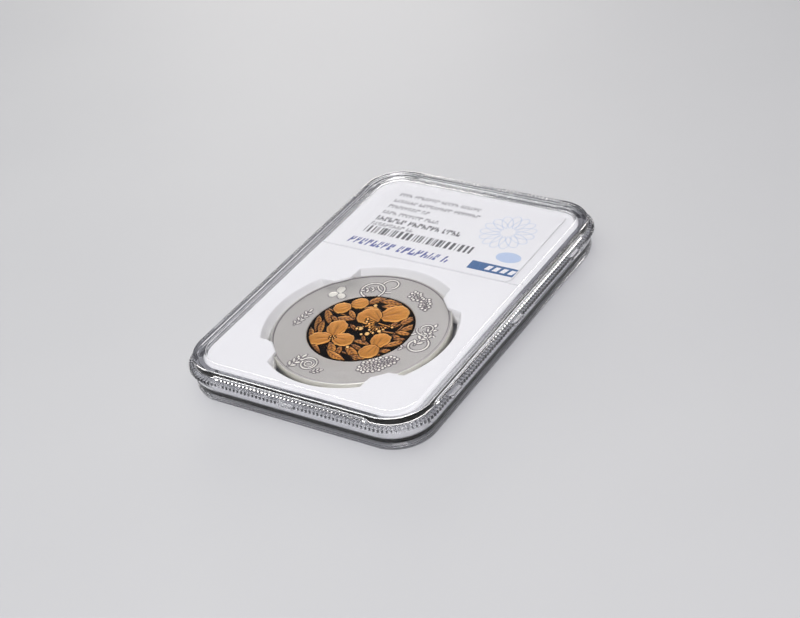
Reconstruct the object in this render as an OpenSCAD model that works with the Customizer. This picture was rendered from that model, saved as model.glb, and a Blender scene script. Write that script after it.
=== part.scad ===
/* [Case] */
// Width of the case across its seam flange
case_w = 59.8; // [57:0.1:66]
// Length of the case along its seam flange
case_l = 84.8; // [82:0.1:94]
// Thickness of the closed case
case_t = 8; // [7.8:0.1:9.2]
// Corner radius of the seam flange
corner_r = 9.8; // [8.6:0.1:12]
// Thickness of each clear window
window_t = 1.33; // [1.2:0.01:1.45]
// Height of each stacking rim above its window
rim_h = 0.72; // [0.5:0.02:0.8]
// Distance from the flange edge in to the clear window
window_inset = 4.35; // [4.1:0.05:4.6]

/* [Seam] */
// Height of the flange edge
flange_t = 0.8; // [0.6:0.05:1]
// Open gap between the lid's skirt and the flange
seam_gap = 0.25; // [0.15:0.05:0.35]
// How far the back wall stands inside the flange edge
wall_inset = 0.9; // [0.7:0.05:1]
// Depth of the weld tongue below the seam
tongue_h = 0.65; // [0.4:0.05:0.9]
// Length of each locating lug along the flange
lug_l = 3.8; // [3:0.1:5]
// How far each lug stands out from the flange
lug_out = 0.45; // [0.3:0.05:0.6]
// Spacing of the lugs along the long sides
lug_pitch = 25.6; // [20:0.1:28]

/* [Insert] */
// Clearance between the insert and the back shell's wall
insert_gap = 0.15; // [0.1:0.01:0.3]
// Gap between each face of the insert and its window
insert_play = 0.05; // [0.02:0.01:0.1]
// Radius of the opening at the foot of its slope
bore_r = 20.2; // [20:0.05:20.8]
// Radius of the opening at the insert's front face
lip_r = 21.9; // [21.5:0.1:23]
// Depth of the opening's slope below the front face
slope_h = 2.3; // [1.5:0.1:2.6]
// Distance from the middle of the case down to the coin's middle
coin_drop = 14.5; // [13.5:0.1:15]
// Width of each prong
prong_w = 6.7; // [4:0.1:9]
// How far each prong reaches over the coin's edge
prong_grip = 0.7; // [0.4:0.05:1.2]

/* [Coin] */
// Diameter of the coin
coin_d = 38.6; // [38:0.1:39]
// Thickness of the coin
coin_t = 2.65; // [2.3:0.05:2.7]
// Height of the coin's lower face above the table
coin_z = 2.53; // [2.5:0.01:2.6]
// Diameter of the centre core
core_d = 23.3; // [20:0.1:26]
// Width of the raised rim round the coin
coin_rim_w = 0.45; // [0.3:0.05:0.8]
// Depth of the coin's field below its rim
field_depth = 0.12; // [0.05:0.01:0.2]

/* [Labels] */
// Width of each label card
label_w = 44.4; // [40:0.1:48]
// Distance from the middle of the case up to the label shelf
shelf_y = 10; // [9.4:0.1:12]
// Upper edge of the label above the middle of the case
label_y1 = 37.2; // [34:0.1:37.6]
// Corner radius of the label card
label_r = 1.6; // [1:0.1:4]
// Thickness of the label card
label_t = 0.25; // [0.15:0.01:0.3]
// Depth of the label shelf below the insert's face
shelf_d = 0.3; // [0.3:0.01:0.4]
// Gap between the label card and the shelf's step
shelf_gap = 0.12; // [0.05:0.01:0.3]
// Width of the security foil on the back label
foil_w = 14; // [8:0.5:20]
// Height of the security foil on the back label
foil_l = 10; // [6:0.5:14]
// Thickness of the security foil
foil_t = 0.04; // [0.02:0.01:0.05]

/* [Hidden] */
$fn = 96;

seam_z = case_t - rim_h - window_t;      // top of the back shell and underside of the lid
floor_z = rim_h + window_t;              // inner face of the back window
core_x = case_w / 2 - corner_r;          // centres of the corner arcs
core_y = case_l / 2 - corner_r;
cavity_inset = 3.3;                      // inner wall of the back shell
land_inset = 1.6;                        // outer edge of the land that the lid rests on
groove_in = 1.7;                         // weld groove, from its outer to its inner wall
groove_out = 2.5;
fit = 0.05;                              // side clearance of the tongue in its groove
weld_gap = 0.1;                          // room under the tongue for molten plastic
edge = 0.2;                              // small edge breaks
join = 0.5;                              // how far a window plate runs into its rim
insert_inset = cavity_inset + insert_gap;
insert_z0 = floor_z + insert_play;
insert_z1 = seam_z - insert_play;
coin_r = coin_d / 2;
coin_z1 = coin_z + coin_t;
coin_play = 0.03;                        // clearance between the coin and the prongs
prong_angles = [45, 135, 225, 315];
label_y0 = shelf_y + shelf_gap;
label_cy = (label_y0 + label_y1) / 2;
label_l = label_y1 - label_y0;
prong_tip_r = coin_r - prong_grip;
foil_x = 11.5;                           // place of the foil on the back label

// Closed profile of the lid's frame, as [inset from the flange edge, height]
lid_profile = [
    [window_inset, seam_z],
    [window_inset, seam_z + window_t],
    [window_inset - edge, case_t - edge],
    [window_inset - 2 * edge, case_t],
    [land_inset, case_t],
    [1.25, case_t - edge],
    [1.15, case_t - 0.5],
    [1.05, seam_z + seam_gap],
    [land_inset, seam_z + seam_gap],
    [land_inset, seam_z],
    [groove_in + fit, seam_z],
    [groove_in + fit, seam_z - tongue_h],
    [groove_out - fit, seam_z - tongue_h],
    [groove_out - fit, seam_z],
];

// Closed profile of the back shell's wall, flange and foot ring
tray_profile = [
    [window_inset, floor_z],
    [window_inset, rim_h],
    [window_inset - edge, edge],
    [window_inset - 2 * edge, 0],
    [land_inset, 0],
    [1.1, 0.35],
    [wall_inset, 0.9],
    [wall_inset, seam_z - flange_t],
    [edge, seam_z - flange_t],
    [0, seam_z - flange_t + edge],
    [0, seam_z - edge],
    [edge, seam_z],
    [groove_in, seam_z],
    [groove_in, seam_z - tongue_h - weld_gap],
    [groove_out, seam_z - tongue_h - weld_gap],
    [groove_out, seam_z],
    [cavity_inset, seam_z],
    [cavity_inset, floor_z],
];

// Flat rounded rectangle of half sizes x and y
module round_plate(x, y, r) {
    square([2 * (x - r), 2 * y], center = true);
    square([2 * x, 2 * (y - r)], center = true);
    for (sx = [-1, 1], sy = [-1, 1])
        translate([sx * (x - r), sy * (y - r)]) circle(r);
}

// Outline of the case, drawn in by an inset on every side
module outline(inset) {
    round_plate(case_w / 2 - inset, case_l / 2 - inset, corner_r - inset);
}

// One straight run of a frame on the +X side
module side_run(profile, reach, run) {
    rotate([90, 0, 0])
        linear_extrude(height = run, center = true)
            polygon([for (p = profile) [reach - p[0], p[1]]]);
}

// A closed profile carried once round the case
module frame(profile) {
    for (turn = [0, 180]) {
        rotate([0, 0, turn]) side_run(profile, case_w / 2, 2 * core_y);
        rotate([0, 0, turn + 90]) side_run(profile, case_l / 2, 2 * core_x);
        rotate([0, 0, turn]) translate([core_x, core_y, 0])
            rotate_extrude(angle = 90) polygon([for (p = profile) [corner_r - p[0], p[1]]]);
        rotate([0, 0, turn]) translate([-core_x, core_y, 0]) rotate([0, 0, 90])
            rotate_extrude(angle = 90) polygon([for (p = profile) [corner_r - p[0], p[1]]]);
    }
}

// A locating lug on the +X side of the flange, with rounded ends
module lug(reach, along) {
    translate([reach, along, seam_z - flange_t + edge])
        linear_extrude(height = flange_t - 2 * edge) {
            square([2 * lug_out, lug_l - 2 * lug_out], center = true);
            for (s = [-1, 1])
                translate([0, s * (lug_l / 2 - lug_out)]) circle(lug_out);
        }
}

module front_shell() {
    color("gainsboro", 0.35) {
        frame(lid_profile);
        translate([0, 0, seam_z])
            linear_extrude(height = window_t) outline(window_inset - join);
    }
}

module back_shell() {
    color("lightsteelblue", 0.35) {
        frame(tray_profile);
        translate([0, 0, rim_h])
            linear_extrude(height = window_t) outline(window_inset - join);
        for (turn = [0, 180]) {
            for (step = [-1, 0, 1])
                rotate([0, 0, turn]) lug(case_w / 2, step * lug_pitch);
            rotate([0, 0, turn + 90]) lug(case_l / 2, 0);
        }
    }
}

// Shelf for one label: the insert's face is cut back by shelf_d from the step to its far end
module label_shelf(z) {
    translate([-case_w / 2, shelf_y, z]) cube([case_w, case_l / 2, shelf_d + 1]);
}

// The four prongs, still solid where the coin sits
module prongs() {
    intersection() {
        translate([0, 0, insert_z0]) cylinder(r = lip_r + 0.5, h = insert_z1 - insert_z0);
        for (a = prong_angles)
            rotate([0, 0, a])
                translate([prong_tip_r - 1, -prong_w / 2, insert_z0])
                    cube([lip_r - prong_tip_r + 3, prong_w, insert_z1 - insert_z0]);
    }
}

module coin_insert() {
    color("white")
    difference() {
        union() {
            difference() {
                translate([0, 0, insert_z0])
                    linear_extrude(height = insert_z1 - insert_z0) outline(insert_inset);
                translate([0, -coin_drop, -1]) cylinder(r = bore_r, h = case_t + 2);
                translate([0, -coin_drop, insert_z1 - slope_h])
                    cylinder(r1 = bore_r, r2 = lip_r, h = slope_h);
                translate([0, -coin_drop, insert_z0])
                    cylinder(r1 = bore_r + 1, r2 = bore_r, h = coin_z - insert_z0);
            }
            translate([0, -coin_drop, 0]) prongs();
        }
        translate([0, -coin_drop, -1]) cylinder(r = prong_tip_r, h = case_t + 2);
        translate([0, -coin_drop, coin_z - coin_play])
            cylinder(r = coin_r + coin_play, h = coin_t + 2 * coin_play);
        label_shelf(insert_z1 - shelf_d);
        label_shelf(insert_z0 - 1);
    }
}

module coin_ring() {
    color("silver")
    translate([0, -coin_drop, coin_z])
        rotate_extrude()
            polygon([
                [core_d / 2, field_depth],
                [coin_r - coin_rim_w, field_depth],
                [coin_r - coin_rim_w, 0],
                [coin_r, 0],
                [coin_r, coin_t],
                [coin_r - coin_rim_w, coin_t],
                [coin_r - coin_rim_w, coin_t - field_depth],
                [core_d / 2, coin_t - field_depth],
            ]);
}

module coin_core() {
    color("goldenrod")
    translate([0, -coin_drop, coin_z + field_depth])
        cylinder(d = core_d, h = coin_t - 2 * field_depth);
}

// One label card with its lower face at height z
module label_card(z) {
    translate([0, label_cy, z])
        linear_extrude(height = label_t) round_plate(label_w / 2, label_l / 2, label_r);
}

module front_label() {
    color("aliceblue") label_card(insert_z1 - shelf_d);
}

module back_label() {
    color("aliceblue") label_card(insert_z0 + shelf_d - label_t);
}

module security_foil() {
    color("plum")
    translate([foil_x, label_cy, insert_z0 + shelf_d - label_t - foil_t])
        linear_extrude(height = foil_t) round_plate(foil_w / 2, foil_l / 2, 1);
}

front_shell();
back_shell();
coin_insert();
coin_ring();
coin_core();
front_label();
back_label();
security_foil();
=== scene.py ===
import math

import bmesh
import bpy
import numpy as np
from mathutils import Matrix, Vector
from mathutils.geometry import delaunay_2d_cdt


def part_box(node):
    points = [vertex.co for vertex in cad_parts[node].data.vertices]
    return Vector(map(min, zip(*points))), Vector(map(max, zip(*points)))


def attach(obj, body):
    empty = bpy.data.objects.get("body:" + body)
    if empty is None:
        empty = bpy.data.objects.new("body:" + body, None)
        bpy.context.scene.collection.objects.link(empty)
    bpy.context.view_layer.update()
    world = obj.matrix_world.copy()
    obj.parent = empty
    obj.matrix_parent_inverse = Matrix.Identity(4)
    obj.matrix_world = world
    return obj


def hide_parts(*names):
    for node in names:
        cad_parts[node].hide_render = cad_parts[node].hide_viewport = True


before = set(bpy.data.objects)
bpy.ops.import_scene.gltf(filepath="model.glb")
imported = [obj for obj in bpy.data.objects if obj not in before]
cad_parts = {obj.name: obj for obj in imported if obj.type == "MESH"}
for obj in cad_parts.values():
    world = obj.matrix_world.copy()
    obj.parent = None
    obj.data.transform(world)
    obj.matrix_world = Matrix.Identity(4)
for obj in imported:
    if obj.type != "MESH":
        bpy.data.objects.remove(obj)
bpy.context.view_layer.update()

MM = 0.001
TAU = 2 * math.pi


# ---- sizes in millimetres
def box_mm(node):
    """The lowest and highest corners of a CAD node, in millimetres."""
    low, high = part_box(node)
    return np.array(low) / MM, np.array(high) / MM


lid_low, lid_high = box_mm("front_shell")
_, tray_high = box_mm("back_shell")
insert_low, insert_high = box_mm("coin_insert")
ring_low, ring_high = box_mm("coin_ring")
core_low, core_high = box_mm("coin_core")
label_low, label_high = box_mm("front_label")
back_low, _ = box_mm("back_label")

LUG_OUT = 0.45        # how far the locating lugs stand out of the flange
CORNER_R = 9.8        # corner radius of the flange
RIM_H = 0.72          # stacking rim above the window
WINDOW_INSET = 4.35   # flange edge to clear window
CAVITY_INSET = 3.3    # flange edge to the tray's inner wall
SKIRT_INSET = 1.1     # flange edge to the lid's outer wall
WALL_INSET = 0.9      # flange edge to the tray's outer wall
FLANGE_T = 0.8        # height of the flange edge
AIR = 0.015           # air film where the two clear halves lie on each other
RIB_PITCH = 0.95      # serrations round the flange and along the grip bars
RIB_STEPS = 5         # columns of the mesh across one serration
FLANGE_RIB = 0.36     # depth of the serrations on the flange
BAR_OUT = 0.45        # how far the lid's grip bars stand out
BAR_RIB = 0.15        # depth of the ribs on the grip bars
WELD_GAP = 0.1        # room for the melt under the weld tongue

half_x = tray_high[0] - LUG_OUT
half_y = tray_high[1] - LUG_OUT
core_x = half_x - CORNER_R
core_y = half_y - CORNER_R
seam_z = tray_high[2]
top_z = lid_high[2]
floor_z = top_z - seam_z
tongue_z = lid_low[2]
coin_x = (ring_low[0] + ring_high[0]) / 2
coin_y = (ring_low[1] + ring_high[1]) / 2
coin_r = (ring_high[0] - ring_low[0]) / 2
seat_r = (core_high[0] - core_low[0]) / 2


# ---- small tools
def ease(value, low, high):
    """Smooth step: 0 below low, 1 above high, and 3t^2 - 2t^3 between."""
    t = np.clip((value - low) / (high - low), 0, 1)
    return t * t * (3 - 2 * t)


def rounded(corners, steps=5):
    """An open line through corners (inset, height, radius), each corner replaced by an arc of its radius.

    The arc touches both sides: it begins and ends radius / tan(half the corner's angle) from the corner.
    """
    rows = np.array(corners, float)
    line = [rows[0, :2]]
    for before, here, after in zip(rows[:-2], rows[1:-1], rows[2:]):
        back = (before[:2] - here[:2]) / np.linalg.norm(before[:2] - here[:2])
        ahead = (after[:2] - here[:2]) / np.linalg.norm(after[:2] - here[:2])
        half = math.acos(np.clip(back @ ahead, -1, 1)) / 2
        middle = here[:2] + (back + ahead) / np.linalg.norm(back + ahead) * here[2] / math.sin(half)
        first = here[:2] + back * here[2] / math.tan(half) - middle
        last = here[:2] + ahead * here[2] / math.tan(half) - middle
        sweep = math.pi - 2 * half
        for t in np.linspace(0, 1, steps + 1):
            turn = (math.sin((1 - t) * sweep) * first + math.sin(t * sweep) * last) / math.sin(sweep)
            line.append(middle + turn)
    line.append(rows[-1, :2])
    return np.array(line)


def round_path(columns):
    """Even steps anticlockwise round the case's outline, from the middle of its +X side.

    Four straight runs and four quarter arcs: the arc centre moves along the runs while the facing angle
    stays, and stays through the arcs while the angle grows. Returns centres, facing angles and lengths.
    """
    arc = CORNER_R * math.pi / 2
    runs = [core_y, arc, 2 * core_x, arc, 2 * core_y, arc, 2 * core_x, arc, core_y]
    stops = np.concatenate([[0], np.cumsum(runs)])
    s = np.arange(columns) * stops[-1] / columns
    angle = np.interp(s, stops, np.repeat(np.arange(5), 2) * math.pi / 2)
    x = np.interp(s, stops, np.array([1, 1, 1, -1, -1, -1, -1, 1, 1, 1]) * core_x)
    y = np.interp(s, stops, np.array([0, 1, 1, 1, 1, -1, -1, -1, -1, 0]) * core_y)
    return np.stack([x, y], 1), angle, s


def carried(path, profile, inset_change=0.0):
    """A profile of (inset, height) carried round a path.

    Each point stands its inset and the change of inset short of the corner radius, measured from the arc
    centre towards the facing angle.
    """
    centres, angle, _ = path
    reach = CORNER_R - profile[None, :, 0] - inset_change + np.zeros((len(angle), 1))
    points = np.empty(reach.shape + (3,))
    points[..., 0] = centres[:, None, 0] + reach * np.cos(angle)[:, None]
    points[..., 1] = centres[:, None, 1] + reach * np.sin(angle)[:, None]
    points[..., 2] = profile[None, :, 1]
    return points


def ring_faces(columns, rows, closed=False):
    """Quads of a grid that closes along its columns, and along its rows too if closed."""
    i, j = np.meshgrid(np.arange(columns), np.arange(rows if closed else rows - 1), indexing="ij")
    i2, j2 = (i + 1) % columns, (j + 1) % rows
    return np.stack([i * rows + j, i2 * rows + j, i2 * rows + j2, i * rows + j2], -1).reshape(-1, 4)


def piece_from(name, points, faces, finish, slot, *nodes):
    """A smooth-shaded piece that rides on the case, from points in millimetres and a list of faces."""
    mesh = bpy.data.meshes.new(name)
    mesh.from_pydata((np.asarray(points).reshape(-1, 3) * MM).tolist(), [], faces)
    mesh.update()
    mesh.shade_smooth()
    mesh.materials.append(finish)
    piece = bpy.data.objects.new(name, mesh)
    bpy.context.scene.collection.objects.link(piece)
    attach(piece, "root")
    if nodes:
        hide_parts(*nodes)
    return piece


def sew(piece, gap_mm):
    """Joins the vertices of a piece that lie within the gap, and turns all its faces outwards."""
    sewn = bmesh.new()
    sewn.from_mesh(piece.data)
    bmesh.ops.remove_doubles(sewn, verts=sewn.verts, dist=gap_mm * MM)
    bmesh.ops.recalc_face_normals(sewn, faces=sewn.faces)
    sewn.to_mesh(piece.data)
    sewn.free()


def even_normals(piece):
    """Lets the large flat faces set the shading at their edges, so that flats stay flat beside a fillet."""
    modifier = piece.modifiers.new("flat faces first", "WEIGHTED_NORMAL")
    modifier.keep_sharp = True
    modifier.weight = 90


def store(piece, name, values):
    """Keeps one number per vertex on the mesh, for its material."""
    layer = piece.data.attributes.new(name, "FLOAT", "POINT")
    layer.data.foreach_set("value", np.asarray(values, np.float32).ravel())


# ---- materials
class Value:
    """One output socket that adds, subtracts and multiplies as a number does."""

    def __init__(self, finish, socket):
        self.finish, self.socket = finish, socket

    def maths(self, operation, *others):
        """The result of a maths node with this value and the others at its inputs."""
        return self.finish.node("ShaderNodeMath", {"operation": operation}, dict(enumerate((self,) + others)))

    def __add__(self, other):
        return self.maths("ADD", other)

    def __sub__(self, other):
        return self.maths("SUBTRACT", other)

    def __mul__(self, other):
        return self.maths("MULTIPLY", other)


class Finish:
    """A node tree with one method for every node it needs."""

    def __init__(self, name, tree=None):
        if tree is None:
            self.material = bpy.data.materials.new(name)
            self.material.use_nodes = True
            tree = self.material.node_tree
        self.tree = tree
        self.tree.nodes.clear()

    def node(self, kind, settings=None, sockets=None, output=0):
        """Adds a node: its settings first, then a value or a link for each named or numbered socket."""
        made = self.tree.nodes.new(kind)
        for key, setting in (settings or {}).items():
            if key == "stops":
                for _ in range(len(setting) - 2):
                    made.color_ramp.elements.new(0.5)
                for element, (place, colour) in zip(made.color_ramp.elements, setting):
                    element.position = place
                    element.color = colour
            else:
                setattr(made, key, setting)
        for key, value in (sockets or {}).items():
            if isinstance(value, Value):
                self.tree.links.new(value.socket, made.inputs[key])
            else:
                made.inputs[key].default_value = value
        return Value(self, made.outputs[output])

    def place(self):
        """The point on the piece, in metres."""
        return self.node("ShaderNodeTexCoord", output="Object")

    def noise(self, scale, detail=3.0, where=None, stretch=(1, 1, 1)):
        """Even noise between 0 and 1, with scale waves to the millimetre."""
        spread = tuple(scale / MM * s for s in stretch)
        point = self.node("ShaderNodeMapping", None, {"Vector": where or self.place(), "Scale": spread})
        return self.node("ShaderNodeTexNoise", None, {"Vector": point, "Scale": 1.0, "Detail": detail})

    def mixed(self, share, first, second):
        """A colour between first and second."""
        settings = {"data_type": "RGBA", "clamp_factor": True}
        return self.node("ShaderNodeMix", settings, {0: share, 6: first, 7: second}, output=2)

    def bump(self, height, strength, depth_mm):
        """A surface normal from a height between 0 and 1."""
        sockets = {"Strength": strength, "Distance": depth_mm * MM, "Height": height}
        return self.node("ShaderNodeBump", None, sockets)

    def attribute(self, name):
        """A number kept on each vertex of the mesh."""
        return self.node("ShaderNodeAttribute", {"attribute_name": name}, output="Fac")

    def shade(self, sockets):
        """The surface shader with its sockets filled in."""
        return self.node("ShaderNodeBsdfPrincipled", None, sockets)

    def show(self, shader, inside=None):
        """Puts a shader on the surface, and another in the space inside it if one is given."""
        made = self.tree.nodes.new("ShaderNodeOutputMaterial")
        self.tree.links.new(shader.socket, made.inputs["Surface"])
        if inside:
            self.tree.links.new(inside.socket, made.inputs["Volume"])
        return self.material


def clear_plastic():
    """Clear moulded plastic that bends what is seen through it, with faint handling marks.

    Lamps and scattered light pass straight through, so that what is inside is lit.
    """
    f = Finish("clear_plastic")
    haze = f.noise(0.25, 4.0)
    marks = f.noise(2.2, 6.0, stretch=(1, 0.08, 1))
    glass = f.shade({
        "Base Color": (0.98, 0.98, 0.985, 1),
        "Roughness": (haze - 0.45) * 0.06 + 0.004,
        "IOR": 1.57,
        "Transmission Weight": 1.0,
        "Normal": f.bump(marks, 0.04, 0.01),
    })
    rays = "ShaderNodeLightPath"
    lamp = f.node(rays, output="Is Shadow Ray").maths("MAXIMUM", f.node(rays, output="Is Diffuse Ray"))
    open_way = f.node("ShaderNodeBsdfTransparent", None, {"Color": (0.94, 0.94, 0.95, 1)})
    smoke = f.node("ShaderNodeVolumeAbsorption", None, {"Color": (0.60, 0.61, 0.66, 1), "Density": 55.0})
    return f.show(f.node("ShaderNodeMixShader", None, {0: lamp, 1: glass, 2: open_way}), inside=smoke)


def white_plastic():
    """Soft white moulding that glows a little from within, with faint mottling and a fine moulded grain."""
    f = Finish("white_plastic")
    mottle = f.noise(0.12, 3.0)
    grain = f.noise(6.0, 2.0)
    return f.show(f.shade({
        "Base Color": f.mixed(mottle, (0.91, 0.91, 0.925, 1), (0.96, 0.96, 0.97, 1)),
        "Roughness": grain * 0.12 + 0.42,
        "Subsurface Weight": 0.5,
        "Subsurface Radius": (1.0, 1.0, 1.0),
        "Subsurface Scale": 1.2 * MM,
        "Normal": f.bump(grain, 0.2, 0.02),
    }))


def struck_silver():
    """Sandblasted silver field; relief and edge are smoother and painted brighter as a highlight, the lines
    round the relief painted dark as shade.
    """
    f = Finish("struck_silver")
    raised = f.attribute("raised")
    groove = f.attribute("groove")
    blast = f.noise(7.0, 2.0)
    tone = f.noise(0.05, 2.0)
    field = f.mixed(tone, (0.46, 0.45, 0.425, 1), (0.53, 0.515, 0.505, 1))
    # painted highlight: the relief and the reeded edge get a brighter, creamier base colour than the field;
    # their lower roughness below is the real smoother finish
    metal = f.mixed(raised, field, (0.94, 0.925, 0.855, 1))
    return f.show(f.shade({
        # painted shade: the groove lines round the relief and the thin line at the foot of the rim are
        # darkened in the base colour
        "Base Color": f.mixed(groove * 0.9, metal, (0.12, 0.10, 0.12, 1)),
        "Metallic": 1.0,
        "Roughness": blast * 0.14 + 0.43 - raised * 0.12,
        "Normal": f.bump(blast, 0.3, 0.03),
    }))


def gilt_relief():
    """Frosted gold petals and browner leaves over a near-black mirror field."""
    f = Finish("gilt_relief")
    raised = f.attribute("raised")
    tone = f.attribute("tone")
    frost = f.noise(7.0, 3.0)
    warm = f.noise(0.5, 3.0)
    petal_gold = f.mixed(warm, (0.69, 0.28, 0.045, 1), (0.87, 0.40, 0.08, 1))
    # tone above one half turns pale yellow: painted highlight on petal rims, beads and the lighter half of
    # each leaf; low tone is the leaves' own brown plus painted shade in creases and midribs
    bright = f.mixed(tone * 2.0 - 1.0, petal_gold, (1.0, 0.66, 0.27, 1))
    gold = f.mixed(tone * 2.0, (0.16, 0.055, 0.018, 1), bright)
    return f.show(f.shade({
        "Base Color": f.mixed(raised, (0.012, 0.010, 0.007, 1), gold),
        "Metallic": 1.0,
        "Roughness": raised * 0.22 + frost * 0.10 + 0.10,
        "Normal": f.bump(frost, 0.3, 0.02),
    }))


def label_card():
    """Smooth coated card with a faint fibre tint."""
    f = Finish("label_card")
    fibre = f.noise(3.0, 4.0, stretch=(1, 0.25, 1))
    wash = f.noise(0.05, 2.0)
    tint = f.mixed(wash, (0.90, 0.90, 0.91, 1), (0.94, 0.94, 0.945, 1))
    return f.show(f.shade({
        "Base Color": tint,
        "Roughness": fibre * 0.15 + 0.38,
        "Normal": f.bump(fibre, 0.15, 0.01),
    }))


def ink(name, colour, thin):
    """Printed ink whose cover varies a little over the card."""
    f = Finish(name)
    cover = f.noise(4.0, 3.0)
    return f.show(f.shade({
        "Base Color": f.mixed(cover, colour, thin),
        "Roughness": cover * 0.1 + 0.4,
    }))


def rainbow_foil():
    """Silver foil with bands of colour and a fine pressed grid."""
    f = Finish("rainbow_foil")
    point = f.place()
    bands = f.node("ShaderNodeTexWave", {"wave_type": "BANDS", "bands_direction": "DIAGONAL"},
                   {"Vector": point, "Scale": 90.0, "Distortion": 3.0, "Detail": 2.0}, output="Fac")
    hues = [(0.0, (0.55, 0.35, 0.75, 1)), (0.3, (0.35, 0.6, 0.85, 1)), (0.55, (0.45, 0.8, 0.6, 1)),
            (0.8, (0.85, 0.8, 0.45, 1)), (1.0, (0.85, 0.45, 0.5, 1))]
    colour = f.node("ShaderNodeValToRGB", {"stops": hues}, {"Fac": bands})
    grid = f.node("ShaderNodeTexChecker", None, {"Vector": point, "Scale": 2500.0}, output="Fac")
    return f.show(f.shade({
        "Base Color": colour,
        "Metallic": 1.0,
        "Roughness": grid * 0.12 + 0.2,
        "Normal": f.bump(grid, 0.3, 0.02),
    }))


CLEAR = clear_plastic()
WHITE = white_plastic()
SILVER = struck_silver()
GILT = gilt_relief()
CARD = label_card()
GREY_INK = ink("grey_ink", (0.22, 0.22, 0.23, 1), (0.40, 0.40, 0.42, 1))
BLACK_INK = ink("black_ink", (0.07, 0.07, 0.08, 1), (0.18, 0.18, 0.19, 1))
BLUE_INK = ink("blue_ink", (0.07, 0.09, 0.32, 1), (0.14, 0.17, 0.42, 1))
BAND_INK = ink("band_ink", (0.02, 0.09, 0.25, 1), (0.04, 0.15, 0.36, 1))
PALE_INK = ink("pale_ink", (0.45, 0.58, 0.82, 1), (0.60, 0.70, 0.88, 1))
FOIL = rainbow_foil()


# ---- the clear case
LUG_PITCH = 25.6      # between the lugs of a long side
LUG_L = 3.8           # length of a lug
case_rim = 4 * (core_x + core_y) + TAU * CORNER_R
rib_count = round(case_rim / RIB_PITCH)
case_path = round_path(rib_count * RIB_STEPS)
rib_wave = 0.5 - 0.5 * np.cos(TAU * rib_count * case_path[2] / case_rim)
path_x, path_y = case_path[0].T
on_long_side = np.abs(np.cos(case_path[1])) > 0.9999
on_short_side = np.abs(np.sin(case_path[1])) > 0.9999


def lug_mask():
    """1 along each locating lug: three on each long side and one on each short side."""
    near = np.full(len(path_x), 99.0)
    for place in (-LUG_PITCH, 0, LUG_PITCH):
        near = np.where(on_long_side, np.minimum(near, np.abs(path_y - place)), near)
    near = np.where(on_short_side, np.abs(path_x), near)
    return 1 - ease(near, LUG_L / 2 - 0.35, LUG_L / 2)


def bar_mask():
    """1 along the straight grip bars of the lid, easing to 0 before each corner."""
    left = np.where(on_long_side, core_y - np.abs(path_y), 0)
    left = np.where(on_short_side, core_x - np.abs(path_x), left)
    return ease(left, 0.4, 2.4)


def shell(name, profile, inset_change, node):
    """A closed clear moulding: a profile carried round the case, with a flat window at each end of it."""
    points = carried(case_path, profile, inset_change)
    columns, rows = points.shape[:2]
    faces = ring_faces(columns, rows).tolist()
    ends = np.arange(columns) * rows
    faces.append(ends[::-1].tolist())
    faces.append((ends + rows - 1).tolist())
    even_normals(piece_from(name, points, faces, CLEAR, "clear_plastic", node))


def front_shell():
    """The lid: window, stacking rim, ribbed grip bars along the straight sides, skirt and weld tongue."""
    under = seam_z + AIR
    profile = rounded([
        (WINDOW_INSET, under, 0),
        (2.45, under, 0.03),
        (2.45, tongue_z, 0.08),
        (1.75, tongue_z, 0.08),
        (1.75, under, 0.03),
        (1.62, under, 0.03),
        (1.62, seam_z + 0.3, 0.05),
        (1.15, seam_z + 0.3, 0.1),
        (SKIRT_INSET + 0.02, seam_z + 0.55, 0.1),
        (SKIRT_INSET + 0.05, seam_z + 1.25, 0.15),
        (1.25, top_z, 0.42),
        (WINDOW_INSET - 0.3, top_z, 0.25),
        (WINDOW_INSET - 0.05, top_z - RIM_H, 0.22),
        (WINDOW_INSET + 0.6, top_z - RIM_H, 0),
    ], 4)
    height = profile[:, 1]
    outside = profile[:, 0] < 1.45
    bar = ease(height, seam_z + 0.28, seam_z + 0.5) * (1 - ease(height, seam_z + 0.95, seam_z + 1.3))
    bar_out = (BAR_OUT - BAR_RIB * rib_wave) * bar_mask()
    shell("front_shell_clear", profile, -bar_out[:, None] * (bar * outside)[None, :], "front_shell")


def back_shell():
    """The tray: back window, foot ring, wall, serrated flange with eight lugs, weld groove and inner wall."""
    edge_low = seam_z - FLANGE_T
    profile = rounded([
        (WINDOW_INSET + 0.6, RIM_H, 0),
        (WINDOW_INSET - 0.05, RIM_H, 0.22),
        (WINDOW_INSET - 0.3, 0, 0.25),
        (1.3, 0, 0.4),
        (WALL_INSET + 0.05, 1.2, 0.4),
        (WALL_INSET, edge_low, 0.15),
        (0.0, edge_low, 0.16),
        (0.0, seam_z, 0.22),
        (1.7, seam_z, 0.03),
        (1.7, tongue_z - WELD_GAP, 0.08),
        (2.5, tongue_z - WELD_GAP, 0.08),
        (2.5, seam_z, 0.03),
        (CAVITY_INSET, seam_z, 0.08),
        (CAVITY_INSET, floor_z, 0.3),
        (WINDOW_INSET + 0.6, floor_z, 0),
    ], 4)
    edge = 1 - ease(profile[:, 0], 0.0, 0.32)
    lug = lug_mask()
    change = FLANGE_RIB * rib_wave * (1 - lug) - LUG_OUT * lug
    shell("back_shell_clear", profile, change[:, None] * edge[None, :], "back_shell")


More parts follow.
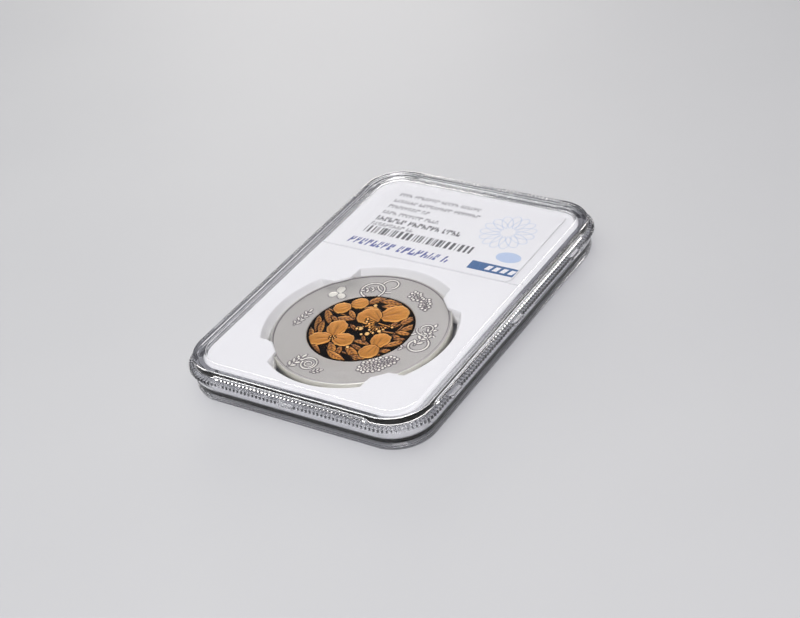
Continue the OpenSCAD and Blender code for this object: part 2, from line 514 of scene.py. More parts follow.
# ---- the white insert
BORE_R = 20.2         # opening round the coin, at the foot of its slope
LIP_R = 21.3          # opening at the insert's face
SLOPE_H = 2.3         # depth of the slope
LIP_EDGE = 0.3        # soft edge where the slope meets the face
BACK_EDGE = 0.8       # the same at the back face
PRONG_TIP_R = 18.6    # how far in each prong reaches over the coin
PRONG_TIP = 2.9       # half width of a prong at its tip
PRONG_ROOT = 4.3      # half width of a prong where it leaves the insert
PRONG_CUT = 0.9       # how far a prong's tip corners are cut back
GRIP_GAP = 0.03       # clearance between the coin and the prongs
SHELF_Y = 10.0        # step down to the shelf that the label lies on
LINE_X = 26.0         # half length of the fine moulded line in front of the step
LINE_Y = 9.7          # its middle
LINE_W = 0.36         # its width
STEEP = 0.02          # how far each line of a step stands from the step's middle
insert_inset = half_x - insert_high[0]
shelf_d = insert_high[2] - label_low[2]


def opening_grid():
    """The wall of the round opening, from the front face down to the back face.

    Two profiles of equal length, the sloped opening and the prong, share the columns. A place across each
    quarter runs from -2 to 2: up to 1 either side lies on the prong, the rest on the slope, with a narrow
    edge between them. A prong's side moves outwards with the radius, its tip is straight and its corners
    are cut back.
    """
    coin_low, coin_high = ring_low[2] - GRIP_GAP, ring_high[2] + GRIP_GAP
    upper, lower = insert_high[2], insert_low[2]
    face_r, back_rim = LIP_R + LIP_EDGE, BORE_R + BACK_EDGE
    t = np.linspace(0, 1, 6)
    lip = np.stack([face_r - LIP_EDGE * t, upper - 0.12 * t**2], 1)
    slope = np.linspace((LIP_R - 0.03, upper - 0.16), (BORE_R, upper - SLOPE_H), 9)
    bore = np.linspace((BORE_R, upper - SLOPE_H - 0.08), (BORE_R, coin_low), 15)
    foot = np.linspace((BORE_R + 0.1, coin_low - 0.1), (back_rim, lower), 5)
    gap = np.concatenate([lip, slope, bore, foot])
    tip = PRONG_TIP_R
    flat = np.linspace((face_r, upper), (tip + 0.32, upper), 10)
    nose = [[tip + 0.16, upper - 0.03], [tip + 0.05, upper - 0.12], [tip, upper - 0.28],
            [tip, coin_high + 0.12], [tip + 0.04, coin_high]]
    pocket = np.linspace((coin_r + GRIP_GAP, coin_high), (coin_r + GRIP_GAP, coin_low), 12)
    back_nose = [[tip, coin_low], [tip, lower + 0.2], [tip + 0.2, lower]]
    spread = np.linspace((tip + 0.8, lower), (back_rim, lower), 5)
    prong = np.concatenate([flat, nose, pocket, back_nose, spread])
    half = np.concatenate([np.linspace(0, 0.96, 26), [0.985, 1.0, 1.012, 1.03], np.linspace(1.06, 2, 56)])
    across = np.concatenate([-half[:0:-1], half[:-1]])
    mask = 1 - ease(np.abs(across), 1.0, 1.03)[:, None]
    prong_side, gap_side = (
        np.arcsin((PRONG_TIP + (PRONG_ROOT - PRONG_TIP) * (line - tip) / (face_r - tip)) / line)[None, :]
        for line in (prong[:, 0], gap[:, 0]))
    side = mask * prong_side + (1 - mask) * gap_side
    beyond = np.maximum(np.abs(across) - 1, 0)[:, None]
    sides = np.minimum(np.abs(across), 1)[:, None]
    turn = np.sign(across)[:, None] * (sides * side + beyond * (math.pi / 4 - side))
    set_back = PRONG_CUT * ease(sides, 0.6, 1.0) + 0.5 * (PRONG_TIP * sides) ** 2 / tip
    share = np.clip((face_r - prong[:, 0]) / (face_r - tip), 0, 1)[None, :]
    share[:, -1] = 0
    row = np.arange(len(prong)) - len(flat) - len(nose)
    seat = (row >= 0) & (row < len(pocket))
    radii = np.where(seat, np.maximum(prong[:, 0], tip + set_back + 0.02), prong[:, 0] + set_back * share)
    reach = mask * radii + (1 - mask) * gap[None, :, 0]
    height = mask * prong[None, :, 1] + (1 - mask) * gap[None, :, 1]
    angle = np.concatenate([turn + math.radians(45 + 90 * k) for k in range(4)])
    x = coin_x + np.tile(reach, (4, 1)) * np.cos(angle)
    y = coin_y + np.tile(reach, (4, 1)) * np.sin(angle)
    return np.stack([x, y, np.tile(height, (4, 1))], -1)


def shelf_drop(y, inwards):
    """How far a face is set back at a place y: 0 below the shelf's step and its full depth above it."""
    return inwards * shelf_d * (y > SHELF_Y)


def insert_face(outer, hole, z, inwards):
    """One face of the insert between its outer loop and the round opening, cut into triangles.

    Two lines a hair apart run from wall to wall at the shelf's step. Every place past them is set back by
    the shelf's depth, so the strip between the lines is the step. The fine line in front of it is a slot as
    deep as the shelf, cut the same way between two oblongs a hair apart. A triangle with all its corners on
    the opening lies inside it, and is left out.
    """
    reach = outer[:, 0].max()
    step = [np.array([(-reach, SHELF_Y + d), (reach, SHELF_Y + d)]) for d in (-STEEP, STEEP)]
    corners = np.array([(-1, -1), (1, -1), (1, 1), (-1, 1)])
    slot = [corners * (LINE_X - d, LINE_W / 2 - d) + (0, LINE_Y) for d in (0, 2 * STEEP)]
    loops = [outer, hole, *slot]
    flat = np.concatenate(loops + step)
    edges, start = [], 0
    for loop in loops:
        index = np.arange(len(loop))
        edges += np.stack([start + index, start + (index + 1) % len(loop)], 1).tolist()
        start += len(loop)
    edges += [[start, start + 1], [start + 2, start + 3]]
    spots, _, triangles, *_ = delaunay_2d_cdt([Vector(p) for p in flat.tolist()], edges, [], 1, 1e-6)
    spots = np.array([tuple(p) for p in spots])
    triangles = np.array(triangles)
    rim_r = np.hypot(hole[0, 0] - coin_x, hole[0, 1] - coin_y)
    on_rim = np.hypot(spots[:, 0] - coin_x, spots[:, 1] - coin_y) < rim_r + 0.001
    keep = ~on_rim[triangles].all(axis=1)
    in_slot = np.all(np.abs(spots - (0, LINE_Y)) < (LINE_X - STEEP, LINE_W / 2 - STEEP), axis=1)
    depth = shelf_drop(spots[:, 1], inwards) + inwards * shelf_d * in_slot
    return np.column_stack([spots, z + depth]), triangles[keep]


def coin_insert():
    """The white plate: outer wall, two faces with a label shelf each, and the opening with four prongs.

    On each long side the two columns of the wall nearest the shelf's step move to the step's two lines.
    """
    upper, lower = insert_high[2], insert_low[2]
    edge = 0.25
    wall_line = rounded([(insert_inset + edge, lower, 0), (insert_inset, lower, edge * 0.9),
                         (insert_inset, upper, edge * 0.9), (insert_inset + edge, upper, 0)])
    path = round_path(720)
    wall = carried(path, wall_line)
    from_step = path[0][:, 1] - SHELF_Y
    for facing in (-1, 1):
        side = np.flatnonzero(np.abs(np.cos(path[1]) - facing) < 0.0001)
        pair = side[np.abs(from_step[side]).argsort()[:2]]
        wall[pair, :, 1] = (SHELF_Y + STEEP * np.sign(from_step[pair]))[:, None]
    rise = (wall[..., 2] - lower) / (upper - lower)
    wall[..., 2] += shelf_drop(wall[..., 1], 1) * (1 - rise) + shelf_drop(wall[..., 1], -1) * rise
    hole = opening_grid()
    parts = [(wall, ring_faces(*wall.shape[:2])), (hole, ring_faces(*hole.shape[:2])),
             insert_face(wall[:, -1, :2], hole[:, 0, :2], upper, -1),
             insert_face(wall[:, 0, :2], hole[:, -1, :2], lower, 1)]
    points, faces, start = [], [], 0
    for spots, cells in parts:
        points.append(spots.reshape(-1, 3))
        faces += (cells + start).tolist()
        start += len(points[-1])
    piece = piece_from("coin_insert_white", np.concatenate(points), faces,
                       WHITE, "white_plastic", "coin_insert")
    sew(piece, 0.002)
    piece.data.set_sharp_from_angle(angle=math.radians(35))
    even_normals(piece)


# ---- relief of the coin
def heading(turn):
    """The unit direction turned a number of degrees from +X."""
    return math.cos(math.radians(turn)), math.sin(math.radians(turn))


def turned(x, y, place, turn):
    """Coordinates along and across an axis that starts at place and points turn degrees from +X."""
    c, s = heading(turn)
    dx, dy = x - place[0], y - place[1]
    return dx * c + dy * s, dy * c - dx * s


class Relief:
    """Height, metal and tone over an array of places, laid from the back to the front.

    Each new shape wipes a narrow line round itself out of whatever lies beneath it.
    """

    def __init__(self, x, y, line):
        self.x, self.y, self.line = x, y, line
        self.height, self.raised, self.groove, self.tone = np.zeros((4,) + x.shape)

    def lay(self, inside, height, tone, line=None):
        """Lays a shape: inside is the distance in from its edge in millimetres, below 0 outside it."""
        line = line or self.line
        cover = ease(inside, -0.03, 0.07)
        wiped = ease(inside, -line, -0.5 * line)
        self.height = self.height * (1 - wiped) + height * cover
        self.raised = self.raised * (1 - wiped) + cover
        # groove marks the wiped line round each shape; the silver material paints it dark as painted shade
        self.groove = np.maximum(self.groove * (1 - cover), wiped - cover)
        self.tone = self.tone * (1 - wiped) + tone * cover

    def petal(self, place, turn, length, width):
        """A broad dome from a flower's heart, with a waved edge, three creases and fine ripples."""
        along, across = turned(self.x, self.y, place, turn)
        t = np.clip(along / length, 0, 1)
        spread = 0.5 * width * (0.86 + 0.25 * t)
        off = np.sqrt(((along - 0.52 * length) / (0.5 * length)) ** 2 + (across / spread) ** 2)
        round_it = np.arctan2(across, along - 0.52 * length)
        off = off * (1 + 0.025 * np.cos(7 * round_it + turn) + 0.02 * np.cos(11 * round_it))
        fan = np.arctan2(across, along + 0.2 * length)
        crease = np.exp(-(fan / 0.05) ** 2) * (1 - ease(t, 0.5, 0.85))
        for lean in (-0.42, 0.36):
            crease = crease + 0.8 * np.exp(-((fan - lean) / 0.05) ** 2) * (1 - ease(t, 0.35, 0.7))
        ripple = np.cos(38 * fan) * (1 - 0.6 * t)
        height = 0.66 + 0.34 * np.sqrt(np.clip(1 - off**2, 0, 1)) - 0.22 * crease + 0.03 * ripple
        # painted highlight: the tone is raised along the petal's edge; painted shade: it is lowered in the
        # creases; it is also lower near the heart
        rim = np.exp(-((off - 0.93) / 0.06) ** 2)
        tone = 0.47 - 0.28 * crease - 0.12 * (1 - ease(t, 0.05, 0.4)) + 0.05 * ripple + 0.2 * rim
        self.lay((1 - off) * 0.5 * min(length, width), height, tone, 0.5 * self.line)

    def leaf(self, place, turn, length, width, tone=0.2, bend=0.0):
        """A pointed leaf, bowed by bend: half its width follows a sine, with a midrib and slanting veins."""
        along, across = turned(self.x, self.y, place, turn)
        t = np.clip(along / length, 0, 1)
        across = across - bend * np.sin(np.pi * t)
        spread = 0.43 * width * np.sin(np.pi * t) ** 0.9
        past = np.maximum(np.maximum(-along, along - length), 0)
        rib = np.exp(-(across / 0.12) ** 2)
        veins = np.cos(TAU * (along - 1.1 * np.abs(across)) / 0.95)
        height = 0.45 + 0.25 * (1 - np.abs(across) / (0.5 * width)) - 0.25 * rib + 0.07 * veins
        # painted light and shade: one half of the leaf is lighter than the other and the sunken midrib is
        # darker
        shade = tone + 0.15 * veins + 0.25 * ease(across / (0.5 * width), 0.1, 0.8) - 0.25 * rib
        self.lay(spread - np.abs(across) - past, height, shade)

    def bar(self, first, last, width, height=0.5, tone=0.3):
        """A straight rounded ridge from first to last."""
        run = np.array(last) - np.array(first)
        along = ((self.x - first[0]) * run[0] + (self.y - first[1]) * run[1]) / (run @ run)
        t = np.clip(along, 0, 1)
        off = np.hypot(self.x - first[0] - t * run[0], self.y - first[1] - t * run[1])
        self.lay(0.5 * width - off, height * (1 - 0.3 * (2 * off / width) ** 2), tone)

    def bead(self, place, radius, tone=0.6, height=0.8):
        """A small round knob."""
        off = np.hypot(self.x - place[0], self.y - place[1])
        self.lay(radius - off, height * np.sqrt(np.clip(1.2 - (off / radius) ** 2, 0, 1)), tone)

    def curl(self, place, radius, first, last, width, growth=0.0, tone=0.3):
        """A ridge along an arc about place, whose radius grows from the angle first to last."""
        angle = (np.degrees(np.arctan2(self.y - place[1], self.x - place[0])) - first) % 360
        angle = np.where(angle < last - first, angle, 999)
        off = np.abs(np.hypot(self.x - place[0], self.y - place[1]) - radius - growth * angle / 360)
        self.lay(0.5 * width - off, 0.6 - 0.15 * (2 * off / width) ** 2, tone)


# the core's leaves, back to front: root, direction in degrees, length, width, tone, bow
LEAVES = [
    ((-11.0, 3.2), -50, 5.8, 2.0, 0.24, 0.2), ((-11.3, 0.9), -64, 6.2, 1.8, 0.18, 0.2),
    ((-9.2, -0.4), -66, 5.0, 1.7, 0.24, -0.2), ((-10.6, -3.6), -54, 4.0, 1.6, 0.2, 0.1),
    ((-7.6, 0.6), 20, 5.4, 2.0, 0.18, 0.2), ((-6.0, 4.8), -40, 3.9, 1.5, 0.26, 0.0),
    ((-7.2, -0.5), 8, 4.4, 1.5, 0.14, -0.2), ((-8.6, 1.6), -30, 3.0, 1.2, 0.2, 0.0),
    ((-3.6, 7.6), 50, 5.0, 2.3, 0.16, 0.3), ((-1.4, 9.6), 12, 6.2, 2.2, 0.2, 0.2),
    ((-3.4, 6.4), 4, 4.4, 1.9, 0.3, 0.2), ((0.0, 8.2), 20, 4.0, 1.7, 0.22, 0.0),
    ((4.2, 9.8), -22, 3.6, 1.4, 0.14, 0.0), ((7.2, 3.4), 66, 5.0, 1.9, 0.16, 0.1),
    ((8.2, 1.8), 54, 5.2, 1.9, 0.18, -0.2), ((4.4, 1.4), 40, 4.2, 1.7, 0.18, 0.1),
    ((7.6, 1.4), 6, 3.8, 1.5, 0.32, 0.0), ((5.8, 2.0), 78, 2.8, 1.2, 0.12, 0.0),
    ((7.7, 0.4), -24, 3.8, 1.5, 0.2, 0.0), ((8.2, -4.0), 44, 4.4, 1.8, 0.24, 0.2),
    ((7.8, -5.6), 16, 3.6, 1.4, 0.18, 0.1), ((8.0, -6.4), -32, 3.0, 1.4, 0.22, 0.0),
    ((8.6, -1.0), 20, 2.8, 1.2, 0.16, 0.0), ((0.6, -4.4), 0, 4.6, 1.3, 0.22, 0.2),
    ((-0.2, -6.2), -34, 7.2, 2.2, 0.26, 0.3), ((1.0, -5.6), -16, 4.0, 1.2, 0.14, 0.1),
    ((-0.6, -6.6), -76, 4.0, 1.6, 0.18, 0.0), ((-3.6, -6.6), -58, 5.0, 2.2, 0.24, 0.5),
    ((-2.8, -9.0), -18, 6.4, 2.0, 0.32, -0.3), ((-8.2, -7.0), -36, 6.0, 1.7, 0.16, -0.3),
    ((3.0, -9.0), 12, 5.2, 1.6, 0.16, -0.2), ((-3.0, 0.4), -30, 3.2, 1.1, 0.16, 0.0),
    ((1.6, -1.8), -50, 3.0, 1.0, 0.14, 0.0),
]

# its petals, back to front: heart, direction in degrees, length, width
PETALS = [
    ((-6.9, 6.4), 30, 4.0, 3.8), ((-6.3, 6.2), 224, 4.0, 3.8),
    ((6.7, -4.9), 97, 4.9, 4.4), ((6.5, -4.0), 262, 4.6, 4.4),
    ((1.7, 4.6), 40, 6.5, 5.8), ((2.4, 3.4), 164, 5.6, 5.6),
    ((-4.0, -5.0), 105, 5.9, 4.5), ((-3.7, -5.0), 206, 5.4, 4.4), ((-4.0, -5.1), 5, 5.0, 4.3),
]


def core_relief(x, y):
    """Blossoms with broad petals, a bud, long veined leaves and a twig, laid over the bare dark field."""
    r = Relief(x, y, 0.26)
    r.bar((3.2, 0.4), (11.2, 1.4), 0.42, 0.5, 0.2)
    r.bar((7.6, -3.6), (8.2, 5.2), 0.32, 0.45, 0.16)
    r.bar((-2.7, -0.8), (2.4, 1.6), 0.36, 0.5, 0.3)
    r.bar((-10.6, 3.4), (-3.4, 2.4), 0.3, 0.45, 0.16)
    r.bar((-3.4, -8.0), (6.4, -9.2), 0.34, 0.45, 0.16)
    for leaf in LEAVES:
        r.leaf(*leaf)
    for petal in PETALS:
        r.petal(*petal)
    heart = (2.8, 2.7)
    # painted highlight: the stamen tips and the beads below get high tone, which the gilt paints as pale
    # yellow glints
    for k in range(12):
        c, s = heading(170 + 17 * k)
        reach = 2.7 + 0.8 * math.sin(2.4 * k + 0.6)
        tip = (heart[0] + reach * c, heart[1] + reach * s)
        r.bar(heart, tip, 0.26, 0.75, 0.45 + 0.1 * (k % 2))
        r.bead(tip, 0.32, 0.7 + 0.25 * (k % 2), 0.9)
    for place, radius in [((0.1, -0.2), 0.55), ((4.35, 0.4), 0.46), ((2.4, -1.3), 0.55), ((-0.7, -0.5), 0.34),
                          ((1.3, -1.9), 0.34), ((-1.4, 8.0), 0.46), ((1.0, -6.7), 0.4), ((3.4, -0.6), 0.3)]:
        r.bead(place, radius, 1.0, 0.95)
    for k in range(5):
        c, s = heading(20 + 72 * k)
        r.bead((-3.9 + 0.55 * c, -5.1 + 0.55 * s), 0.2, 0.8)
    inside = 1 - ease(np.hypot(x, y), seat_r - 0.62, seat_r - 0.5)
    return r.height * inside, r.raised * inside, r.tone


def sprig(r, place, turn, length, pairs, size):
    """A stem with pairs of small leaves and one leaf at its tip."""
    c, s = heading(turn)
    tip = (place[0] + c * length, place[1] + s * length)
    r.bar(place, tip, 0.26)
    for k in range(pairs):
        reach = length * (k + 0.3) / pairs
        for side in (-1, 1):
            r.leaf((place[0] + c * reach, place[1] + s * reach), turn + 48 * side, size, 0.42 * size)
    r.leaf(tip, turn, size, 0.45 * size)


def berries(r, place, turn, length, width, count):
    """A tapering bunch of small beads, spread by the golden angle over a pointed oval."""
    k = np.arange(count)
    reach = np.sqrt((k + 0.5) / count)
    a = k * math.pi * (3 - math.sqrt(5))
    along = 0.5 * length * reach * np.cos(a)
    across = 0.5 * width * reach * np.sin(a) * (1 - 0.5 * along / length)
    c, s = heading(turn)
    for u, v in zip(along, across):
        r.bead((place[0] + u * c - v * s, place[1] + u * s + v * c), 0.32)


def ring_relief(x, y):
    """Sprigs, bunches of berries and curled ribbons spaced round the silver ring, 0 on the bare field."""
    r = Relief(x, y, 0.3)
    sprig(r, (-7.2, -16.9), 72, 3.6, 3, 1.6)
    r.curl((-3.6, -14.6), 1.5, -190, 160, 0.36, 0.5)
    r.curl((-3.6, -14.6), 0.7, 20, 300, 0.3, 0.2)
    sprig(r, (-1.5, -16.7), 36, 1.6, 2, 1.0)
    berries(r, (10.3, -9.4), 47, 8.6, 4.2, 74)
    sprig(r, (14.0, -1.2), 84, 6.4, 4, 1.7)
    r.curl((14.6, -0.9), 1.8, 150, 420, 0.4, 0.8)
    r.curl((13.7, 4.6), 1.1, -60, 190, 0.32, 0.4)
    sprig(r, (15.6, 1.4), 118, 2.6, 2, 1.3)
    sprig(r, (12.4, -2.6), 200, 1.0, 1, 1.2)
    berries(r, (5.4, 13.9), -22, 4.0, 2.6, 24)
    berries(r, (8.7, 12.0), -62, 4.4, 2.4, 26)
    r.curl((-2.2, 15.7), 1.5, -60, 210, 0.36, 0.5)
    r.curl((-5.0, 12.6), 2.6, 20, 110, 0.36)
    sprig(r, (-4.6, 13.4), 214, 2.4, 2, 1.2)
    r.petal((-11.6, 8.9), 100, 2.6, 2.0)
    r.petal((-11.7, 9.0), 220, 2.2, 1.8)
    r.petal((-11.5, 8.9), 330, 2.2, 1.8)
    sprig(r, (-14.4, -4.2), 84, 5.0, 4, 1.3)
    return r


def back_relief(x, y):
    """The coin's other face: a wreath of leaf pairs."""
    r = Relief(x, y, 0.2)
    for k in range(26):
        a = 360 * k / 26
        c, s = heading(a)
        for side in (-1, 1):
            r.leaf((15.2 * c, 15.2 * s), a + 90 + 42 * side, 3.0, 1.2)
    return r


COIN_RIM_W = 0.5      # raised rim of the coin
FIELD_SINK = 0.11     # how far its fields lie below the rim
RELIEF_H = 0.13       # height of the ring's relief over the field
REEDS = 295           # grooves round the edge: four mesh columns to each
REED_DEPTH = 0.07
CORE_SINK = 0.1       # how far the core's field lies below the rim
CORE_RELIEF_H = 0.2   # height of the core's relief over its field


def coin_ring():
    """The silver ring: back face outwards, reeded edge upwards, front face inwards and the seat downwards.

    Both faces are fields sunk below the raised rim, plus their relief.
    """
    columns = 4 * REEDS
    low, high = ring_low[2], ring_high[2]
    rim_in = coin_r - COIN_RIM_W
    back_r = np.concatenate([np.linspace(seat_r, rim_in - 0.1, 18), [rim_in, coin_r - 0.12]])
    edge = np.array([(coin_r - 0.03, low + 0.03), (coin_r, low + 0.12), (coin_r, (low + high) / 2),
                     (coin_r, high - 0.12), (coin_r - 0.03, high - 0.03)])
    front_r = np.concatenate([[coin_r - 0.12, rim_in + 0.07, rim_in],
                              np.linspace(rim_in - 0.1, seat_r + 0.05, 52), [seat_r]])
    angle = np.arange(columns) * TAU / columns
    reach = np.concatenate([back_r, edge[:, 0], front_r])
    x = reach[None, :] * np.cos(angle)[:, None]
    y = reach[None, :] * np.sin(angle)[:, None]
    front, back = ring_relief(x, y), back_relief(x, y)
    field = ease(rim_in - reach, -0.01, 0.09)[None, :]
    on_back = np.arange(len(reach)) < len(back_r)
    on_front = np.arange(len(reach)) >= len(back_r) + len(edge)
    z = np.where(on_back, low + field * (FIELD_SINK - RELIEF_H * back.height),
                 high - field * (FIELD_SINK - RELIEF_H * front.height))
    z[:, len(back_r):-len(front_r)] = edge[:, 1]
    reeds = REED_DEPTH * (0.5 - 0.5 * np.cos(angle * REEDS))
    wall = (~on_back & ~on_front).astype(float)
    scale = 1 - reeds[:, None] * wall[None, :] / coin_r
    seat = np.arange(len(reach)) == len(reach) - 1
    z = np.where(seat[None, :], z - 0.05, z)
    points = np.stack([coin_x + x * scale, coin_y + y * scale, z], -1)
    piece = piece_from("coin_ring_silver", points, ring_faces(*z.shape, closed=True).tolist(),
                       SILVER, "silver", "coin_ring")
    # painted highlight: the reeded edge counts as raised, so it takes the relief's brighter creamier colour
    store(piece, "raised", np.where(on_front, front.raised, np.where(on_back, back.raised, 1)))
    # painted shadow: a thin ring just inside the raised rim is darkened like the grooves
    rim_shadow_line = (np.abs(reach - rim_in + 0.05) < 0.08)[None, :]
    front_painted_shade = np.maximum(front.groove, rim_shadow_line)
    store(piece, "groove", np.where(on_front, front_painted_shade, np.where(on_back, back.groove, 0)))


def coin_core():
    """The gilt centre: a disc whose front carries the blossoms and whose back is a plain turned field."""
    columns = 620
    low, high = core_low[2], core_high[2]
    radius = seat_r - 0.02
    back_r = np.concatenate([[0.0], np.linspace(0.4, radius - 0.08, 14)])
    front_r = np.concatenate([np.linspace(radius - 0.08, 0.15, 118), [0.0]])
    reach = np.concatenate([back_r, [radius, radius], front_r])
    angle = np.arange(columns) * TAU / columns
    x = reach[None, :] * np.cos(angle)[:, None]
    y = reach[None, :] * np.sin(angle)[:, None]
    relief, raised, tone = core_relief(x, y)
    row = np.arange(len(reach))
    front = row >= len(back_r) + 2
    z = np.where(front, high - CORE_SINK + CORE_RELIEF_H * relief, low)
    z[:, len(back_r)] = low + 0.06
    z[:, len(back_r) + 1] = high - 0.16
    z[:, -1] = z[0, -1]
    points = np.stack([coin_x + x, coin_y + y, z], -1)
    piece = piece_from("coin_core_gilt", points, ring_faces(*z.shape).tolist(), GILT, "gold", "coin_core")
    store(piece, "raised", np.where(front, raised, 1.0))
    store(piece, "tone", np.where(front, tone, 0.5))
    sew(piece, 0.0005)


# ---- printing on the label cards
INK_LIFT = 0.006      # printing stands this far off the card
BAR_UNIT = 0.2        # narrowest bar of a row of bars
PRINT_LEFT = -19.4    # left margin of the front card's lines


def blocks(rows, lean=0.0):
    """Flat printed marks from rows (left, bottom, width, height), leaning over by a share of their height."""
    rows = np.array(rows, float)
    left, bottom, width, height = rows.T
    x = np.stack([left, left + width, left + width + lean * height, left + lean * height], 1)
    y = np.stack([bottom, bottom, bottom + height, bottom + height], 1)
    return x, y


def word_row(left, right, bottom, height, letter, seed):
    """Greeked words: groups of tall and half-height blocks that fill a line from left to right."""
    dice = np.random.default_rng(seed)
    row, x = [], left
    until_gap = int(dice.integers(4, 10))
    while x < right - letter:
        width = letter * dice.uniform(0.75, 1.05)
        stem = width * dice.uniform(0.28, 0.4)
        bar, half = height * dice.choice([0.0, 0.36, 0.7]), height * dice.choice([0.0, 0.5])
        row += [(x, bottom, stem, height), (x + stem, bottom + bar, width - 2 * stem, height * 0.3),
                (x + width - stem, bottom + half, stem, height * 0.5)]
        x += width + letter * 0.2
        until_gap -= 1
        if until_gap == 0:
            x += letter * 0.7
            until_gap = int(dice.integers(4, 10))
    return row


def code_bars(left, right, bottom, height, seed):
    """A generic row of bars of one to four units with narrower gaps between them."""
    dice = np.random.default_rng(seed)
    row, x = [], left
    while x < right - 4 * BAR_UNIT:
        width = BAR_UNIT * dice.integers(1, 5)
        row.append((x, bottom, width, height))
        x += width + BAR_UNIT * dice.integers(1, 4)
    return row


def rosette_marks(centre, radius, lobes, width, turns, steps):
    """A ribbon along a wavy ring: its radius swings lobes times round, shifted a little for each turn."""
    x, y = [], []
    for k in range(turns):
        t = np.arange(steps + 1) * TAU / steps
        reach = radius * (0.62 + 0.36 * np.cos(lobes * t + TAU * k / turns))
        cx, cy = centre[0] + reach * np.cos(t), centre[1] + reach * np.sin(t)
        dx, dy = np.gradient(cx), np.gradient(cy)
        size = np.hypot(dx, dy) / (0.5 * width)
        nx, ny = -dy / size, dx / size
        for marks, c, n in ((x, cx, nx), (y, cy, ny)):
            marks.append(np.stack([(c - n)[:-1], (c - n)[1:], (c + n)[1:], (c + n)[:-1]], 1))
    return np.concatenate(x), np.concatenate(y)


def disc_marks(centre, reach_x, reach_y, steps=48):
    """A filled oval as thin four-sided slices."""
    t = np.linspace(-1, 1, steps + 1) * 0.999
    x = centre[0] + reach_x * t
    h = reach_y * np.sqrt(1 - t**2)
    xs = np.stack([x[:-1], x[1:], x[1:], x[:-1]], 1)
    ys = centre[1] + np.stack([-h[:-1], -h[1:], h[1:], h[:-1]], 1)
    return xs, ys


def printed(name, groups, z, slot, up=True):
    """Marks printed on a card: quads at height z, each group in its own ink."""
    points, faces, inks, start = [], [], [], 0
    for number, ((x, y), lift, _) in enumerate(groups):
        spots = np.stack([x, y, np.full_like(x, z + (lift if up else -lift))], -1).reshape(-1, 3)
        index = start + np.arange(len(spots)).reshape(-1, 4)
        points.append(spots)
        faces.append(index if up else index[:, ::-1])
        inks.append(np.full(len(index), number))
        start += len(spots)
    piece = piece_from(name, np.concatenate(points), np.concatenate(faces).tolist(), groups[0][2], slot)
    for _, _, finish in groups[1:]:
        piece.data.materials.append(finish)
    piece.data.polygons.foreach_set("material_index", np.concatenate(inks).astype(np.int32))


def front_print():
    """Six greeked lines, a row of bars, a slanted blue line, a marked blue band, a rosette and an oval."""
    light = []
    for k, (right, middle) in enumerate(((3.2, 32.9), (4.0, 30.3), (-8.0, 27.8), (-4.0, 25.2), (-8.0, 20.3))):
        light += word_row(PRINT_LEFT, right, middle - 0.6, 1.3, 0.85, 11 + k)
    bold = word_row(PRINT_LEFT, 3.7, 21.75, 1.75, 1.05, 31)
    code = code_bars(-19.5, 9.6, 16.6, 2.7, 47)
    blue = word_row(-20.8, 6.2, 11.8, 2.4, 1.35, 59)
    band = [(10.6, 11.8, 11.4, 3.0)]
    ring = rosette_marks((12.6, 27.0), 6.6, 5, 0.13, 3, 220)
    printed("front_label_print", [
        (blocks(light), INK_LIFT, GREY_INK),
        (blocks(bold + code), INK_LIFT, BLACK_INK),
        (blocks(blue, 0.2), INK_LIFT, BLUE_INK),
        (blocks(band), INK_LIFT, BAND_INK),
        (ring, 0.004, PALE_INK),
        (disc_marks((17.6, 18.2), 3.0, 1.9), 0.005, PALE_INK),
        (blocks([(14.6 + 1.9 * k, 12.5, 1.2, 1.6) for k in range(4)], 0.3), 0.009, CARD),
    ], label_high[2], "label_card")


def back_print():
    """The back card: a pale rosette, greeked lines and a row of bars, read from below."""
    lines = []
    for k in range(4):
        lines += word_row(-3.0, 17.5 - 3 * (k % 2), 30.5 - 2.4 * k, 1.1, 0.9, 71 + k)
    code = code_bars(-3.0, 17.0, 12.0, 3.2, 83)
    rows = np.array(lines + code)
    rows[:, 0] = -rows[:, 0] - rows[:, 2]
    printed("back_label_print", [
        (blocks(rows), INK_LIFT, BLACK_INK),
        (rosette_marks((0.0, 22.6), 9.5, 9, 0.14, 8, 260), 0.004, PALE_INK),
    ], back_low[2], "label_card", up=False)


# ---- build the slab
front_shell()
back_shell()
coin_insert()
coin_ring()
coin_core()
front_print()
back_print()
for node_name, finish in (("front_label", CARD), ("back_label", CARD), ("security_foil", FOIL)):
    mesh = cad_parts[node_name].data
    mesh.materials.clear()
    mesh.materials.append(finish)


# ---- floor, light and camera
def floor():
    """A plain pale floor with a faint mottle."""
    f = Finish("pale_floor")
    tone = f.noise(0.01, 3.0)
    finish = f.show(f.shade({
        "Base Color": f.mixed(tone, (0.47, 0.475, 0.49, 1), (0.52, 0.525, 0.535, 1)),
        "Roughness": 0.6,
    }))
    mesh = bpy.data.meshes.new("floor")
    reach = 3.0
    corners = [(x * reach, y * reach, 0) for x, y in ((-1, -1), (1, -1), (1, 1), (-1, 1))]
    mesh.from_pydata(corners, [], [(0, 1, 2, 3)])
    mesh.materials.append(finish)
    plane = bpy.data.objects.new("floor", mesh)
    bpy.context.scene.collection.objects.link(plane)


def away_from(azimuth, elevation):
    """The unit direction at an azimuth in degrees from -Y towards +X, raised by an elevation."""
    a, e = math.radians(azimuth), math.radians(elevation)
    return Vector((math.sin(a) * math.cos(e), -math.cos(a) * math.cos(e), math.sin(e)))


def softbox(name, azimuth, elevation, distance, size, power, colour):
    """A square soft light aimed at the slab: distance and size in metres, power in watts."""
    light = bpy.data.lights.new(name, "AREA")
    light.shape = "SQUARE"
    light.size = size
    light.energy = power
    light.color = colour
    lamp = bpy.data.objects.new(name, light)
    bpy.context.scene.collection.objects.link(lamp)
    away = away_from(azimuth, elevation)
    lamp.location = away * distance
    lamp.rotation_euler = away.to_track_quat("Z", "Y").to_euler()


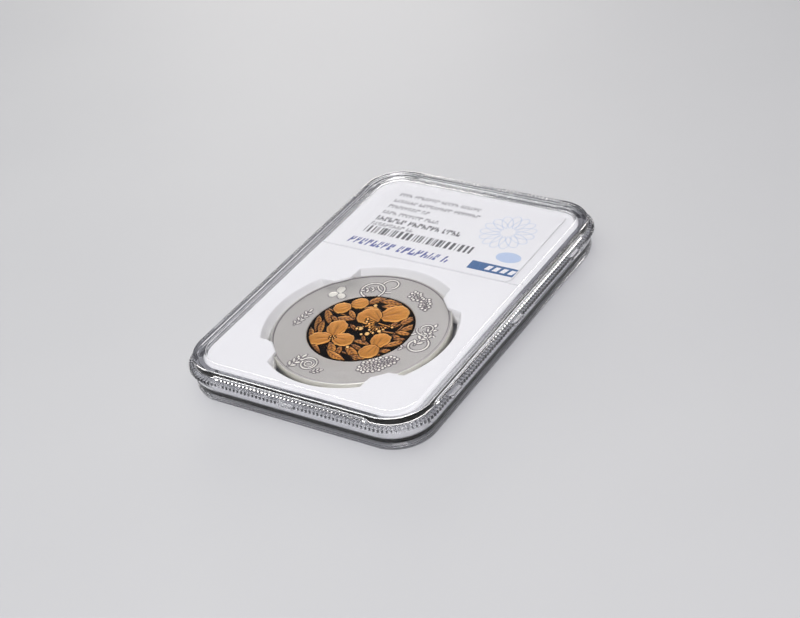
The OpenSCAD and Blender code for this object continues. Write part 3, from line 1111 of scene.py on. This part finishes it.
def sky():
    """An even studio sky: bright overhead, dimmer towards the horizon."""
    world = bpy.data.worlds.new("studio")
    bpy.context.scene.world = world
    world.use_nodes = True
    f = Finish("studio", world.node_tree)
    direction = f.node("ShaderNodeTexCoord", output="Generated")
    height = f.node("ShaderNodeSeparateXYZ", None, {0: direction}, output="Z")
    colour = f.node("ShaderNodeValToRGB", {"stops": [
        (0.0, (0.07, 0.07, 0.08, 1)), (0.62, (0.06, 0.06, 0.065, 1)),
        (0.8, (0.25, 0.255, 0.265, 1)), (1.0, (0.45, 0.455, 0.465, 1))]}, {"Fac": height})
    background = f.node("ShaderNodeBackground", None, {"Color": colour, "Strength": 1.0})
    f.tree.links.new(background.socket, f.tree.nodes.new("ShaderNodeOutputWorld").inputs["Surface"])


CAMERA_AZIMUTH = 37.67    # degrees
CAMERA_ELEVATION = 34.59
CAMERA_ROLL = -10.09
CAMERA_DISTANCE = 366.4   # millimetres from the aim point
CAMERA_AIM = (5.63, -7.41)
CAMERA_LENS = 78.29


def camera():
    """A long lens on the corner of the slab, rolled a little."""
    away = away_from(CAMERA_AZIMUTH, CAMERA_ELEVATION)
    level = Vector((0, 0, 1)).cross(away).normalized()
    above = away.cross(level)
    roll = math.radians(CAMERA_ROLL)
    right = level * math.cos(roll) + above * math.sin(roll)
    up = above * math.cos(roll) - level * math.sin(roll)
    aim = Vector((CAMERA_AIM[0], CAMERA_AIM[1], top_z - RIM_H))
    data = bpy.data.cameras.new("camera")
    data.lens = CAMERA_LENS
    data.sensor_width = 36
    data.clip_start = 0.01
    lens = bpy.data.objects.new("camera", data)
    bpy.context.scene.collection.objects.link(lens)
    turn = Matrix((right, up, away)).transposed().to_4x4()
    lens.matrix_world = Matrix.Translation((aim + away * CAMERA_DISTANCE) * MM) @ turn
    bpy.context.scene.camera = lens


floor()
for lamp in [
        ("top_softbox", 190, 62, 0.7, 0.47, 1.1, (1.0, 0.98, 0.985)),
        ("front_softbox", 25, 52, 0.7, 0.5, 4.1, (1.0, 0.98, 0.985)),
        ("low_softbox", 217, 9, 0.7, 0.25, 1.7, (1.0, 0.96, 0.92)),
        ("left_softbox", 275, 56, 0.45, 0.28, 0.5, (0.98, 1.0, 0.98)),
        ("right_softbox", 80, 55, 0.8, 0.35, 0.6, (1.0, 0.97, 0.97))]:
    softbox(*lamp)
sky()
camera()
bpy.context.scene.view_settings.view_transform = "Standard"
